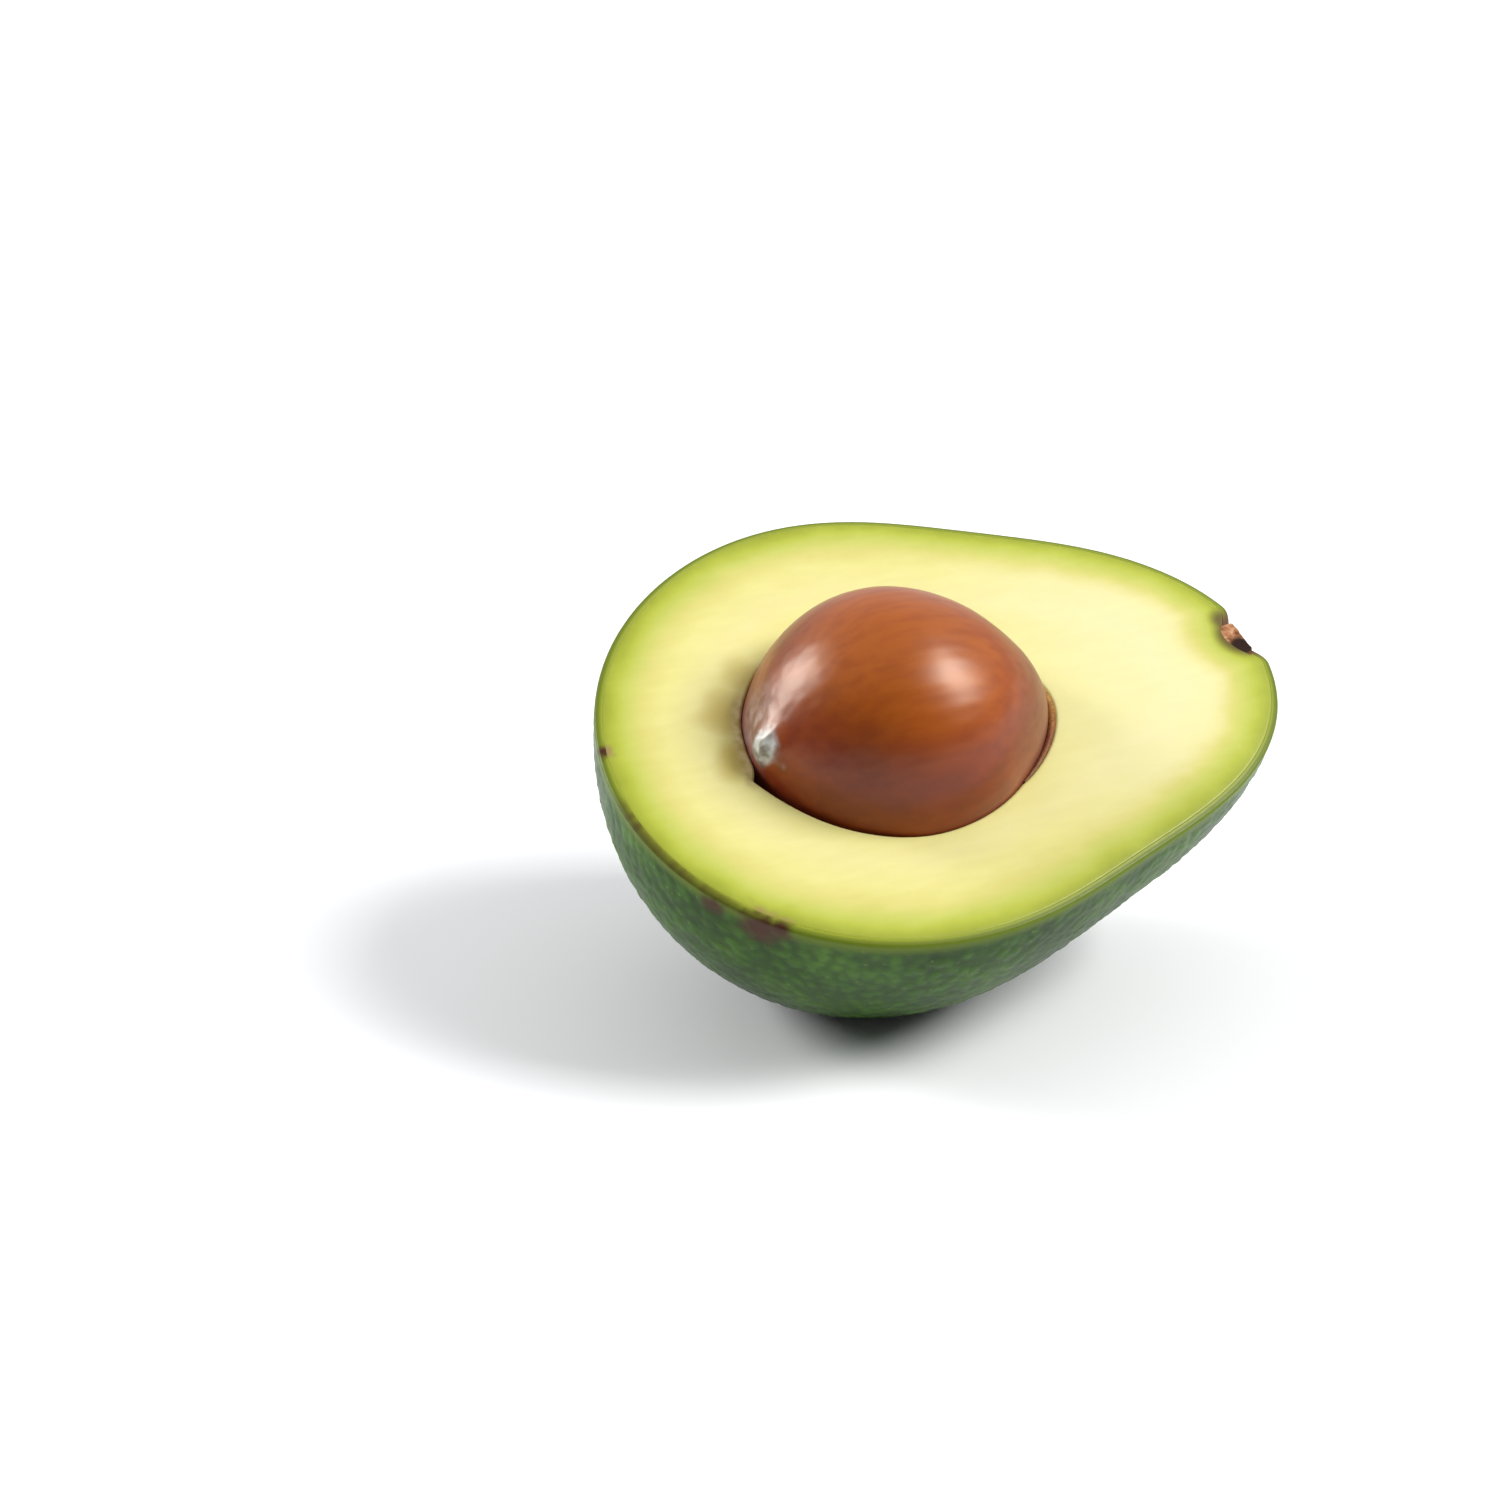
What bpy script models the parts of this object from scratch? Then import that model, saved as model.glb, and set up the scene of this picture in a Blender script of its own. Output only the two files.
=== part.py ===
"""Half an avocado with its seed, cut lengthwise and resting on a small flat spot of its skin.

Units are metres and +Z is up. Every piece is shaped in the fruit's own frame, where x runs from the
middle towards the stem, y runs across the cut face and z stands out of it. One empty, resting_pose,
carries them all and turns that frame to the pose at rest: the origin is at the centre of the flat
spot, +X runs towards the stem, and the cut face leans towards -Y.
"""

import math

import bmesh
import bpy
from mathutils import Matrix, Vector

# Fruit. The outline in the cut plane is a radius round the middle, as a sum of waves.
LENGTH = 0.094  # blossom end to stem end
DEPTH_RATIO = 1.08  # the round back is a little deeper than half of the width
OUTLINE_EVEN = (1.0, -0.021, 0.131, 0.055, 0.021, 0.004)  # cosine waves: oval, pear, shoulders
OUTLINE_SIDE = (0.016, 0.006, -0.015)  # sine waves, which make one side a little fuller
MEAN_RADIUS = LENGTH / (2 * sum(OUTLINE_EVEN[::2]))
PEEL_THICKNESS = 0.0010
GAP = 0.0003  # between neighbouring pieces

# Hollow at the stem end, and the dried stem in it
STEM_SIDE = 0.0013  # how far the hollow sits off the middle line
HOLLOW_RADIUS = 0.0058
HOLLOW_DEPTH = 0.0028
BUTTON_SIDE = 0.0004  # the stem dried up towards one side of its hollow
BUTTON_RADIUS = 0.0034
BUTTON_LENGTH = 0.0060
BUTTON_TOP = 0.0468  # the button's outer end, measured from the middle
BUTTON_EDGE = 0.0009

# Seed
SEED_MIDDLE = Vector((-0.0056, -0.0004, -0.0018))
SEED_RADII = Vector((0.0208, 0.0186, 0.0197))
SEED_TAPER = -0.10  # slimmer towards the stem
SEED_POINT = -0.15  # slimmer towards both ends
BEAK_LENGTH = 0.0013  # the small point at the seed's blossom end
BEAK_SPREAD = math.radians(9)
BEAK_DIRECTION = Vector((-0.95, -0.10, 0.28)).normalized()

# Papery seed coat, which stays on the cavity's wall at the stem side
COAT_THICKNESS = 0.0005
COAT_REACH = math.radians(50)  # either way round the seed
COAT_DROP = math.radians(30)  # down from the cut face
COAT_ABOVE = math.radians(12)  # spare height, trimmed off level with the cut face
POCKET_MARGIN = math.radians(7)
POCKET_FADE = math.radians(14)

# Pose at rest
TILT = math.radians(24)  # the cut face leans towards -Y
PITCH = math.radians(3)  # the stem end is raised
MIDDLE = Vector((0.00792, -0.00289, 0.03823))  # the fruit's middle over the flat spot
PLACE = (
    Matrix.Translation(MIDDLE)
    @ Matrix.Rotation(-PITCH, 4, "Y")
    @ Matrix.Rotation(TILT, 4, "X")
)

# Mesh fineness, with rings crowded at the ends and most of all round the stem's hollow
FRUIT_MESH = (56, 42)
SEED_MESH = (40, 28)
STEM_CROWD = 0.45
ENDS_CROWD = 0.18

CUT_FACE = Vector((0, 0, 1))


def clear_scene():
    for obj in list(bpy.data.objects):
        bpy.data.objects.remove(obj, do_unlink=True)


def smooth_fade(full, gone, value):
    """1 up to full, 0 from gone on, and a smooth slope between them."""
    t = min(max((gone - value) / (gone - full), 0.0), 1.0)
    return t * t * (3 - 2 * t)


def material(name, color, roughness):
    made = bpy.data.materials.new(name)
    made.use_nodes = True
    shader = made.node_tree.nodes["Principled BSDF"]
    shader.inputs["Base Color"].default_value = (*color, 1)
    shader.inputs["Roughness"].default_value = roughness
    shader.inputs["Metallic"].default_value = 0.0
    return made


def make_object(name, bm, made=None):
    """A sub-part under the resting_pose empty. Without a material it is a cutter."""
    bmesh.ops.recalc_face_normals(bm, faces=bm.faces)
    mesh = bpy.data.meshes.new(name)
    bm.to_mesh(mesh)
    bm.free()
    mesh.shade_smooth()
    mesh.set_sharp_from_angle(angle=math.radians(40))
    obj = bpy.data.objects.new(name, mesh)
    bpy.context.scene.collection.objects.link(obj)
    obj.parent = bpy.data.objects["resting_pose"]
    if made:
        mesh.materials.append(made)
    else:
        obj.hide_render = True
        obj.display_type = "WIRE"
    return obj


def hollow_out(obj, cutter):
    cut = obj.modifiers.new("cut_by_" + cutter.name, "BOOLEAN")
    cut.operation = "DIFFERENCE"
    cut.solver = "EXACT"
    cut.object = cutter


def cut_away(bm, point, normal):
    """Removes what lies past a plane, and closes the cut with one flat face."""
    geometry = bm.verts[:] + bm.edges[:] + bm.faces[:]
    cut = bmesh.ops.bisect_plane(
        bm, geom=geometry, plane_co=point, plane_no=normal, clear_outer=True, dist=1e-7
    )
    edges = [item for item in cut["geom_cut"] if isinstance(item, bmesh.types.BMEdge)]
    bmesh.ops.contextual_create(bm, geom=edges)


def halve(bm):
    cut_away(bm, Vector((0, 0, 0)), CUT_FACE)


def flatten_below(bm, height):
    """Flattens the piece where it would come lower than a height above the floor."""
    to_fruit = PLACE.inverted()
    down = to_fruit.to_3x3() @ Vector((0, 0, -1))
    cut_away(bm, to_fruit @ Vector((0, 0, height)), down)


def unit_ball(around, along):
    """A ball of radius 1 with its poles on the x axis and no vertex on the cut plane."""
    bm = bmesh.new()
    half_step = Matrix.Rotation(math.pi / around, 4, "X")
    poles_on_x = Matrix.Rotation(math.pi / 2, 4, "Y")
    bmesh.ops.create_uvsphere(
        bm, u_segments=around, v_segments=along, radius=1.0, matrix=half_step @ poles_on_x
    )
    return bm


def fruit_point(direction):
    """Where a direction of the unit ball comes to lie on the fruit's skin."""
    even = math.acos(min(max(direction.x, -1.0), 1.0))
    angle = even - STEM_CROWD * math.sin(even) - ENDS_CROWD * math.sin(2 * even)
    ring = math.hypot(direction.y, direction.z) or 1.0
    across = direction.y / ring
    radius = sum(wave * math.cos(k * angle) for k, wave in enumerate(OUTLINE_EVEN))
    radius += across * sum(wave * math.sin((k + 1) * angle) for k, wave in enumerate(OUTLINE_SIDE))
    radius *= MEAN_RADIUS
    x = radius * math.cos(angle)
    y = radius * math.sin(angle) * across
    z = radius * math.sin(angle) * direction.z / ring * DEPTH_RATIO
    off_stem = math.hypot(y - STEM_SIDE, z)
    if x > 0 and off_stem < HOLLOW_RADIUS:
        x -= HOLLOW_DEPTH * math.cos(math.pi / 2 * off_stem / HOLLOW_RADIUS) ** 2
    return Vector((x, y, z))


def whole_fruit(inset):
    """The uncut fruit, moved inwards by inset along its normals."""
    bm = unit_ball(*FRUIT_MESH)
    for vert in bm.verts:
        vert.co = fruit_point(vert.co.normalized())
    bm.normal_update()
    for vert in bm.verts:
        vert.co -= vert.normal * inset
    return bm


def seed_point(direction, outset):
    """Where a direction of the unit ball comes to lie on the seed, or outside it by outset."""
    width = 1 + SEED_TAPER * direction.x + SEED_POINT * direction.x**2
    on_seed = Vector(
        (
            direction.x * SEED_RADII.x,
            direction.y * SEED_RADII.y * width,
            direction.z * SEED_RADII.z * width,
        )
    )
    off_beak = direction.angle(BEAK_DIRECTION) / BEAK_SPREAD
    beak = BEAK_DIRECTION * BEAK_LENGTH * math.exp(-(off_beak**2))
    return SEED_MIDDLE + on_seed + beak + direction * outset


def coat_pocket(direction):
    """How much deeper the cavity is, past the gap round the seed, to hold the coat."""
    turn = abs(math.atan2(direction.y, direction.x))
    drop = math.asin(min(max(-direction.z, -1.0), 1.0))
    reach = COAT_REACH + POCKET_MARGIN
    low = COAT_DROP + POCKET_MARGIN
    sideways = smooth_fade(reach, reach + POCKET_FADE, turn)
    downwards = smooth_fade(low, low + POCKET_FADE, drop)
    return (COAT_THICKNESS + GAP) * sideways * downwards


def make_peel():
    bm = whole_fruit(0.0)
    halve(bm)
    flatten_below(bm, 0.0)
    peel = make_object("peel", bm, material("peel", (0.07, 0.16, 0.03), 0.4))
    inside = whole_fruit(PEEL_THICKNESS)
    flatten_below(inside, PEEL_THICKNESS)
    hollow_out(peel, make_object("peel_inside", inside))


def make_flesh():
    inset = PEEL_THICKNESS + GAP
    bm = whole_fruit(inset)
    halve(bm)
    flatten_below(bm, inset)
    flesh = make_object("flesh", bm, material("flesh", (0.84, 0.80, 0.34), 0.5))
    cavity = unit_ball(*SEED_MESH)
    for vert in cavity.verts:
        direction = vert.co.normalized()
        vert.co = seed_point(direction, GAP + coat_pocket(direction))
    hollow_out(flesh, make_object("seed_cavity", cavity))


def make_seed():
    bm = unit_ball(*SEED_MESH)
    for vert in bm.verts:
        vert.co = seed_point(vert.co.normalized(), 0.0)
    make_object("seed", bm, material("seed", (0.30, 0.10, 0.04), 0.35))


def make_seed_coat():
    """A curved sheet between the seed and the cavity's wall, trimmed level with the cut face."""
    bm = bmesh.new()
    bmesh.ops.create_grid(bm, x_segments=16, y_segments=6, size=1.0)
    directions = {}
    for vert in bm.verts:
        turn = vert.co.x * COAT_REACH
        rise = -COAT_DROP + (vert.co.y + 1) / 2 * (COAT_DROP + COAT_ABOVE)
        direction = Vector(
            (math.cos(rise) * math.cos(turn), math.cos(rise) * math.sin(turn), math.sin(rise))
        )
        vert.co = seed_point(direction, GAP)
        directions[vert] = direction
    sheet = bmesh.ops.extrude_face_region(bm, geom=bm.faces[:], use_keep_orig=True)
    outer = [item for item in sheet["geom"] if isinstance(item, bmesh.types.BMVert)]
    for vert in outer:
        vert.co += (vert.co - SEED_MIDDLE).normalized() * COAT_THICKNESS
    halve(bm)
    make_object("seed_coat", bm, material("seed_coat", (0.24, 0.12, 0.04), 0.6))


def make_stem_button():
    """A dried stub in the stem's hollow, cut through with the fruit."""
    bm = bmesh.new()
    along_x = Matrix.Rotation(math.pi / 2, 4, "Y")
    place = Matrix.Translation((BUTTON_TOP - BUTTON_LENGTH / 2, BUTTON_SIDE, 0))
    bmesh.ops.create_cone(
        bm,
        cap_ends=True,
        segments=24,
        radius1=BUTTON_RADIUS,
        radius2=BUTTON_RADIUS,
        depth=BUTTON_LENGTH,
        matrix=place @ along_x,
    )
    end = [edge for edge in bm.edges if all(v.co.x > BUTTON_TOP - 1e-6 for v in edge.verts)]
    bmesh.ops.bevel(
        bm, geom=end, offset=BUTTON_EDGE, segments=3, profile=0.5, affect="EDGES", material=-1
    )
    halve(bm)
    button = make_object("stem_button", bm, material("stem_button", (0.35, 0.22, 0.12), 0.7))
    hollow_out(button, make_object("button_seat", whole_fruit(-GAP)))


def build():
    clear_scene()
    pose = bpy.data.objects.new("resting_pose", None)
    bpy.context.scene.collection.objects.link(pose)
    pose.matrix_world = PLACE
    make_peel()
    make_flesh()
    make_seed()
    make_seed_coat()
    make_stem_button()


build()
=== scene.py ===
# %% [markdown]
# # Half an avocado with its seed
#
# A ripe avocado was cut lengthwise, and this is the half that kept the seed. The lesson models it
# piece by piece: the pebbled peel, the soft flesh with its colour running from green to cream, the
# polished seed, the papery coat beside it and the dried stem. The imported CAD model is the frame: it
# gives the size and the place, and each piece made here replaces its plain CAD solid.

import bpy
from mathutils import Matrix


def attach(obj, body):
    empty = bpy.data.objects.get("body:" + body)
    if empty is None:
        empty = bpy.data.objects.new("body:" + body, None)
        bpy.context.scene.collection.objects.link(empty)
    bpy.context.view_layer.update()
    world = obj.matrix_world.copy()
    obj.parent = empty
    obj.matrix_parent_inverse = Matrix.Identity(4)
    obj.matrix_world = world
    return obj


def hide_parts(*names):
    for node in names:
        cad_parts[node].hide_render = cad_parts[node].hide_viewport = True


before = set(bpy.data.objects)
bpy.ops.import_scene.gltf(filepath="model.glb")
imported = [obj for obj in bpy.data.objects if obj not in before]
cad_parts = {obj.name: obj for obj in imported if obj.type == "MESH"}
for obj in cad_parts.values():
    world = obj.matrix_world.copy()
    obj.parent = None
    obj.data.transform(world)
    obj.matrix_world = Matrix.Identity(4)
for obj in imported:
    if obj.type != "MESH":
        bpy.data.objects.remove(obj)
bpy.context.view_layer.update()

# %% Libraries and units
import functools
import math

import bmesh
import bpy
from mathutils import Matrix, Vector, kdtree, noise

MM = 0.001
noise.seed_set(7)  # without a seed, the vector noise is another one in each run

# %% [markdown]
# ## The shape that all pieces share
#
# On the real fruit the peel, the flesh and the cut edge all follow one smooth form. It could be
# sculpted by hand, but then the pieces would never meet exactly. So the form is a formula: the outline
# in the cut plane is a radius that varies in a few slow waves, and the round back is that outline
# turned about the long axis. Everything is worked out in the fruit's own frame, with x towards the
# stem, y across the cut face and z out of it, and PLACE turns that frame to the pose at rest.

# %% Driving dimensions, the same as the CAD model's
LENGTH = 94 * MM
DEPTH_RATIO = 1.08
OUTLINE_EVEN = (1.0, -0.021, 0.131, 0.055, 0.021, 0.004)
OUTLINE_SIDE = (0.016, 0.006, -0.015)
MEAN_RADIUS = LENGTH / (2 * sum(OUTLINE_EVEN[::2]))
PEEL = 1.0 * MM

STEM_SIDE = 1.3 * MM
HOLLOW_RADIUS = 5.8 * MM
HOLLOW_DEPTH = 2.8 * MM

SEED_MIDDLE = Vector((-5.6, -0.4, -1.8)) * MM
SEED_RADII = Vector((20.8, 18.6, 19.7)) * MM
SEED_TAPER = -0.10
SEED_POINT = -0.15
BEAK_LENGTH = 1.3 * MM
BEAK_SPREAD = math.radians(9)
BEAK_DIRECTION = Vector((-0.95, -0.10, 0.28)).normalized()

TILT = math.radians(24)
PITCH = math.radians(3)
MIDDLE = Vector((7.92, -2.89, 38.23)) * MM
PLACE = (
    Matrix.Translation(MIDDLE)
    @ Matrix.Rotation(-PITCH, 4, "Y")
    @ Matrix.Rotation(TILT, 4, "X")
)


print("mean radius of the outline in mm:", round(MEAN_RADIUS / MM, 2))


# %% A smooth slope, and a direction on the fruit
def fade(full, gone, value):
    """1 up to full, 0 from gone on, and a smooth slope between them."""
    t = min(max((gone - value) / (gone - full), 0.0), 1.0)
    return t * t * (3 - 2 * t)


def facing(turn, drop):
    """A direction: turn goes round the cut face from the stem, and drop goes down from the face."""
    level = math.cos(drop)
    return Vector((level * math.cos(turn), level * math.sin(turn), -math.sin(drop)))


print("half way down a slope from 1 to 0:", fade(0.0, 1.0, 0.5))


# %% Points on the skin
def skin_point(direction):
    """Where a direction comes to lie on the fruit's skin."""
    angle = math.acos(min(max(direction.x, -1.0), 1.0))
    ring = math.hypot(direction.y, direction.z) or 1.0
    across = direction.y / ring
    radius = sum(wave * math.cos(k * angle) for k, wave in enumerate(OUTLINE_EVEN))
    radius += across * sum(wave * math.sin((k + 1) * angle) for k, wave in enumerate(OUTLINE_SIDE))
    radius *= MEAN_RADIUS
    x = radius * math.cos(angle)
    y = radius * math.sin(angle) * across
    z = radius * math.sin(angle) * direction.z / ring * DEPTH_RATIO
    off_stem = math.hypot(y - STEM_SIDE, z)
    if x > 0 and off_stem < HOLLOW_RADIUS:
        x -= HOLLOW_DEPTH * math.cos(math.pi / 2 * off_stem / HOLLOW_RADIUS) ** 2
    return Vector((x, y, z))


def skin(direction, inset):
    """(point, outward normal) of the skin, with the point moved inwards by inset."""
    step = 0.002  # small enough for a true slope on the smooth form
    here = skin_point(direction)
    one = direction.orthogonal().normalized() * step
    two = direction.cross(one)
    along = skin_point((direction + one).normalized()) - here
    across = skin_point((direction + two).normalized()) - here
    normal = along.cross(across).normalized()
    return here - normal * inset, normal


@functools.cache
def rim(turn):
    """(point, outward normal) of the skin at the cut face."""
    return skin(facing(turn, 0.0), 0.0)


def inside_rim(turn, inset, height):
    """A point this far inside the rim, at this height over the cut face."""
    point, normal = rim(turn)
    moved = point - normal * inset
    moved.z = height
    return moved


print("the rim is", round(rim(0.0)[0].x / MM, 1), "mm from the middle at the stem")


# %% Points on the seed
def seed_point(direction, outset):
    """Where a direction comes to lie on the seed, or outside it by outset."""
    width = 1 + SEED_TAPER * direction.x + SEED_POINT * direction.x**2
    on_seed = Vector(
        (
            direction.x * SEED_RADII.x,
            direction.y * SEED_RADII.y * width,
            direction.z * SEED_RADII.z * width,
        )
    )
    off_beak = direction.angle(BEAK_DIRECTION) / BEAK_SPREAD
    beak = BEAK_DIRECTION * BEAK_LENGTH * math.exp(-(off_beak**2))
    return SEED_MIDDLE + on_seed + beak + direction * outset


print("the seed's crown stands", round(seed_point(Vector((0, 0, 1)), 0.0).z / MM, 1), "mm over the face")

# %% [markdown]
# ## A ball with a job for each ring
#
# Peel and flesh are shells that turn over at the cut edge: down the back, over the rim, and on along
# the inside. An operator gives a ball of rings and segments, closed at both poles. Each ring is then
# given a job, such as one place down the back or one step over the rim, so the mesh is fine where
# the eye looks and coarse where it is hidden. It is still one closed skin with no seam.


# %% A ball of rings with jobs
ROUND = 640  # segments round the peel and the flesh


def ring_ball(segments, stages, paints):
    """A ball, its new paint layers, and each vertex's turn round it, stage and share of that stage."""
    jobs = [(stages[0][0], 0.0)]
    for stage, count in stages:
        jobs += [(stage, (k + 1) / count) for k in range(count)]
    rings = len(jobs) - 1
    bm = bmesh.new()
    bmesh.ops.create_uvsphere(bm, u_segments=segments, v_segments=rings, radius=1.0)
    layers = [bm.verts.layers.float.new(name) for name in paints]
    places = []
    for vert in bm.verts:
        height = min(max(vert.co.z, -1.0), 1.0)
        ring = round((math.asin(height) / math.pi + 0.5) * rings)
        turn = round(math.atan2(vert.co.y, vert.co.x) / math.tau * segments) * math.tau / segments
        places.append((vert, turn, *jobs[ring]))
    return bm, layers, places


print("one segment of the rim is about", round(math.tau * MEAN_RADIUS / ROUND / MM, 2), "mm long")


# %% From a finished mesh to a piece in its place
def lay_down(point, least_height):
    """The point in the pose at rest, pressed flat where it would be lower than least_height."""
    placed = PLACE @ point
    placed.z = max(placed.z, least_height)
    return placed


def make_piece(name, node, bm, finish):
    """Make the bmesh an object that rides on the fruit and stands for its plain CAD node."""
    mesh = bpy.data.meshes.new(name)
    bm.to_mesh(mesh)
    bm.free()
    mesh.shade_smooth()
    mesh.materials.append(finish)
    piece = bpy.data.objects.new(name, mesh)
    bpy.context.scene.collection.objects.link(piece)
    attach(piece, "root")
    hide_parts(node)
    mesh.calc_loop_triangles()
    print(name, "has", len(mesh.loop_triangles), "triangles")


print("the fruit's middle rests", round(PLACE.translation.z / MM, 2), "mm over the floor")


# %% [markdown]
# ## Materials: colours and one node helper
#
# Colours are written as sRGB hex, as a colour picker shows them, and one function turns them to the
# linear values that shaders count in. One more function adds any node with its settings and links.
# A Mix node for colours takes its share from input 0, the colour under from 6 and the colour over
# from 7, and gives its result at output 2.


# %% Colours
def linear(hex_color):
    """An sRGB hex colour as linear red, green, blue and alpha."""
    parts = [int(hex_color[k : k + 2], 16) / 255 for k in (1, 3, 5)]
    return (*[p / 12.92 if p <= 0.04045 else ((p + 0.055) / 1.055) ** 2.4 for p in parts], 1.0)


print("linear value of #808080:", round(linear("#808080")[0], 3))

# %% Nodes and materials
OVER = {"data_type": "RGBA", "blend_type": "MIX"}  # settings of a Mix node that covers
DARKEN = {"data_type": "RGBA", "blend_type": "MULTIPLY"}  # and of one that darkens


def add(tree, kind, inputs=None, stops=None, **settings):
    """A new node. An input is a value or the output socket that feeds it; stops fill a colour ramp."""
    made = tree.nodes.new(kind)
    for name, value in settings.items():
        setattr(made, name, value)
    for name, value in (inputs or {}).items():
        if isinstance(value, bpy.types.NodeSocket):
            tree.links.new(value, made.inputs[name])
        else:
            made.inputs[name].default_value = value
    for k, (place, color) in enumerate(stops or []):
        ramp = made.color_ramp.elements
        stop = ramp[k] if k < 2 else ramp.new(place)
        stop.position = place
        stop.color = linear(color)
    return made


def new_material(name, roughness, ior):
    """(material, tree, Principled shader) with nothing else in the tree."""
    made = bpy.data.materials.new(name)
    made.use_nodes = True
    shader = made.node_tree.nodes["Principled BSDF"]
    shader.inputs["Roughness"].default_value = roughness
    shader.inputs["IOR"].default_value = ior
    return made, made.node_tree, shader


print("a Mix node either covers or darkens:", OVER["blend_type"], DARKEN["blend_type"])

# %% [markdown]
# ## Peel
#
# The real peel is a leathery green skin about 1 mm thick. Close up it is pebbled: low rounded bumps
# about 1.5 mm apart with darker grooves between them. The bumps could be left to a bump map, but the
# outline and the close views show them, so they are real geometry: each point of the back is lifted
# by its distance from the nearest of many scattered cell centres. The edge left by the knife is
# softly rounded, and the cut face falls a little towards it. Where the half rests, it is pressed flat.

# %% Rim of the cut face
CUT_EDGE_ROUND = 0.5 * MM
RIM_FALL = 0.3 * MM
RIM_REACH = 3.5 * MM


def rim_fall(inset):
    """How far the cut face has fallen at this distance from the skin."""
    return RIM_FALL * max(1 - inset / RIM_REACH, 0.0) ** 2


print("where peel and flesh meet, the face is", round(rim_fall(PEEL) / MM, 2), "mm lower")


# %% Pebbles
PEBBLE_SPACING = 1.5 * MM
PEBBLE_HEIGHT = 0.17 * MM
PEBBLE_ZERO = 0.55  # the height of a pebble that lies on the smooth form
PEBBLES_FULL = -2.8 * MM  # below this height the pebbles are whole
PEBBLES_GONE = -0.9 * MM  # above it, next to the cut, there are none


def pebble(point):
    """Height of the pebbles at a point, from 0 in a groove to about 1 on a crown."""
    wobble = noise.noise_vector(point / (2.2 * PEBBLE_SPACING)) * 0.35
    nearest = noise.voronoi(point / PEBBLE_SPACING + wobble)[0][0]
    crown = fade(0.12, 0.75, nearest)
    return crown * (0.8 + 0.5 * noise.noise(point / (3 * PEBBLE_SPACING)))


print("pebbles stand", round(PEBBLE_HEIGHT / MM, 2), "mm high")

# %% Bruises and the browned edge
BRUISES = (
    # middle (x, y, depth under the cut face) and reach, in mm
    (Vector((-36.2, -25.6, 1.9)), 3.9),
    (Vector((-34.0, -27.1, 0.9)), 2.4),
    (Vector((-40.6, -20.4, 1.8)), 2.4),
    (Vector((-43.8, 6.2, 0.4)), 1.5),
)
BROWNED_EDGE = math.radians(-163)  # the middle of the stretch of edge that has browned
BROWNED_REACH = math.radians(17)


def bruise(point):
    """1 in the middle of a brown mark on the skin, 0 away from it."""
    seen = Vector((point.x, point.y, -point.z)) / MM
    ragged = 1 + 0.5 * noise.noise(point / (1.1 * MM))
    return max(fade(0.3 * reach, reach, (seen - place).length * ragged) for place, reach in BRUISES)


def browned_edge(turn):
    """How far the cut edge has browned at this turn, from 0 to about 0.6."""
    off = abs(math.remainder(turn - BROWNED_EDGE, math.tau))
    patchy = 0.5 + 0.35 * noise.noise(Vector((math.cos(turn), math.sin(turn), 0.0)) * 40)
    return fade(0.6 * BROWNED_REACH, BROWNED_REACH, off) * max(patchy, 0.0)


print(len(BRUISES), "bruises")


# %% Peel shape
PEEL_STAGES = (("back", 116), ("edge", 7), ("top", 3), ("inside", 14))
PEEL_PAINTS = ("pebble", "inset_mm", "depth_mm", "bruise", "stem_end")
INSIDE_DROP = 0.1 * MM  # the inner side starts this far under the top, beside the flesh


def peel_place(turn, stage, share):
    """(point, pebble height, inset from the skin) of a vertex of the peel."""
    if stage == "back":
        rim_depth = CUT_EDGE_ROUND + RIM_FALL
        rim_drop = math.asin(rim_depth / (DEPTH_RATIO * rim(turn)[0].length))
        drop = (1 - share) * math.radians(90) + share * rim_drop
        point, normal = skin(facing(turn, drop), 0.0)
        swell = fade(PEBBLES_FULL, PEBBLES_GONE, point.z)
        height = pebble(point) * swell
        return point + normal * (height - PEBBLE_ZERO * swell) * PEBBLE_HEIGHT, height, 0.0
    if stage == "edge":
        arc = share * math.radians(90)
        inset = CUT_EDGE_ROUND * (1 - math.cos(arc))
        below = RIM_FALL + CUT_EDGE_ROUND * (1 - math.sin(arc))
        return inside_rim(turn, inset, -below), 0.0, inset
    if stage == "top":
        inset = CUT_EDGE_ROUND + share * (PEEL - CUT_EDGE_ROUND)
        return inside_rim(turn, inset, -RIM_FALL + (RIM_FALL - rim_fall(PEEL)) * share), 0.0, inset
    point, _ = skin(facing(turn, share * math.radians(90)), PEEL)
    point.z -= INSIDE_DROP + rim_fall(PEEL)
    return point, 0.0, PEEL


print("rings from pole to pole:", sum(count for _, count in PEEL_STAGES))


# %% Peel mesh
def peel_mesh():
    """The peel as a bmesh, with the paints that its finish reads."""
    bm, (pebbles, insets, depths, marks, stems), places = ring_ball(ROUND, PEEL_STAGES, PEEL_PAINTS)
    for vert, turn, stage, share in places:
        point, vert[pebbles], inset = peel_place(turn, stage, share)
        vert[insets] = inset / MM
        vert[depths] = -point.z / MM
        vert[marks] = bruise(point)
        if stage in ("edge", "top"):
            vert[marks] = max(vert[marks], browned_edge(turn))
        off_stem = math.hypot(point.y - STEM_SIDE, point.z) / HOLLOW_RADIUS
        vert[stems] = fade(0.45, 1.0, off_stem) if point.x > 0 else 0.0
        vert.co = lay_down(point, PEEL if stage == "inside" else 0.0)
    return bm


peel = peel_mesh()
print("the peel has", len(peel.verts), "vertices")
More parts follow.
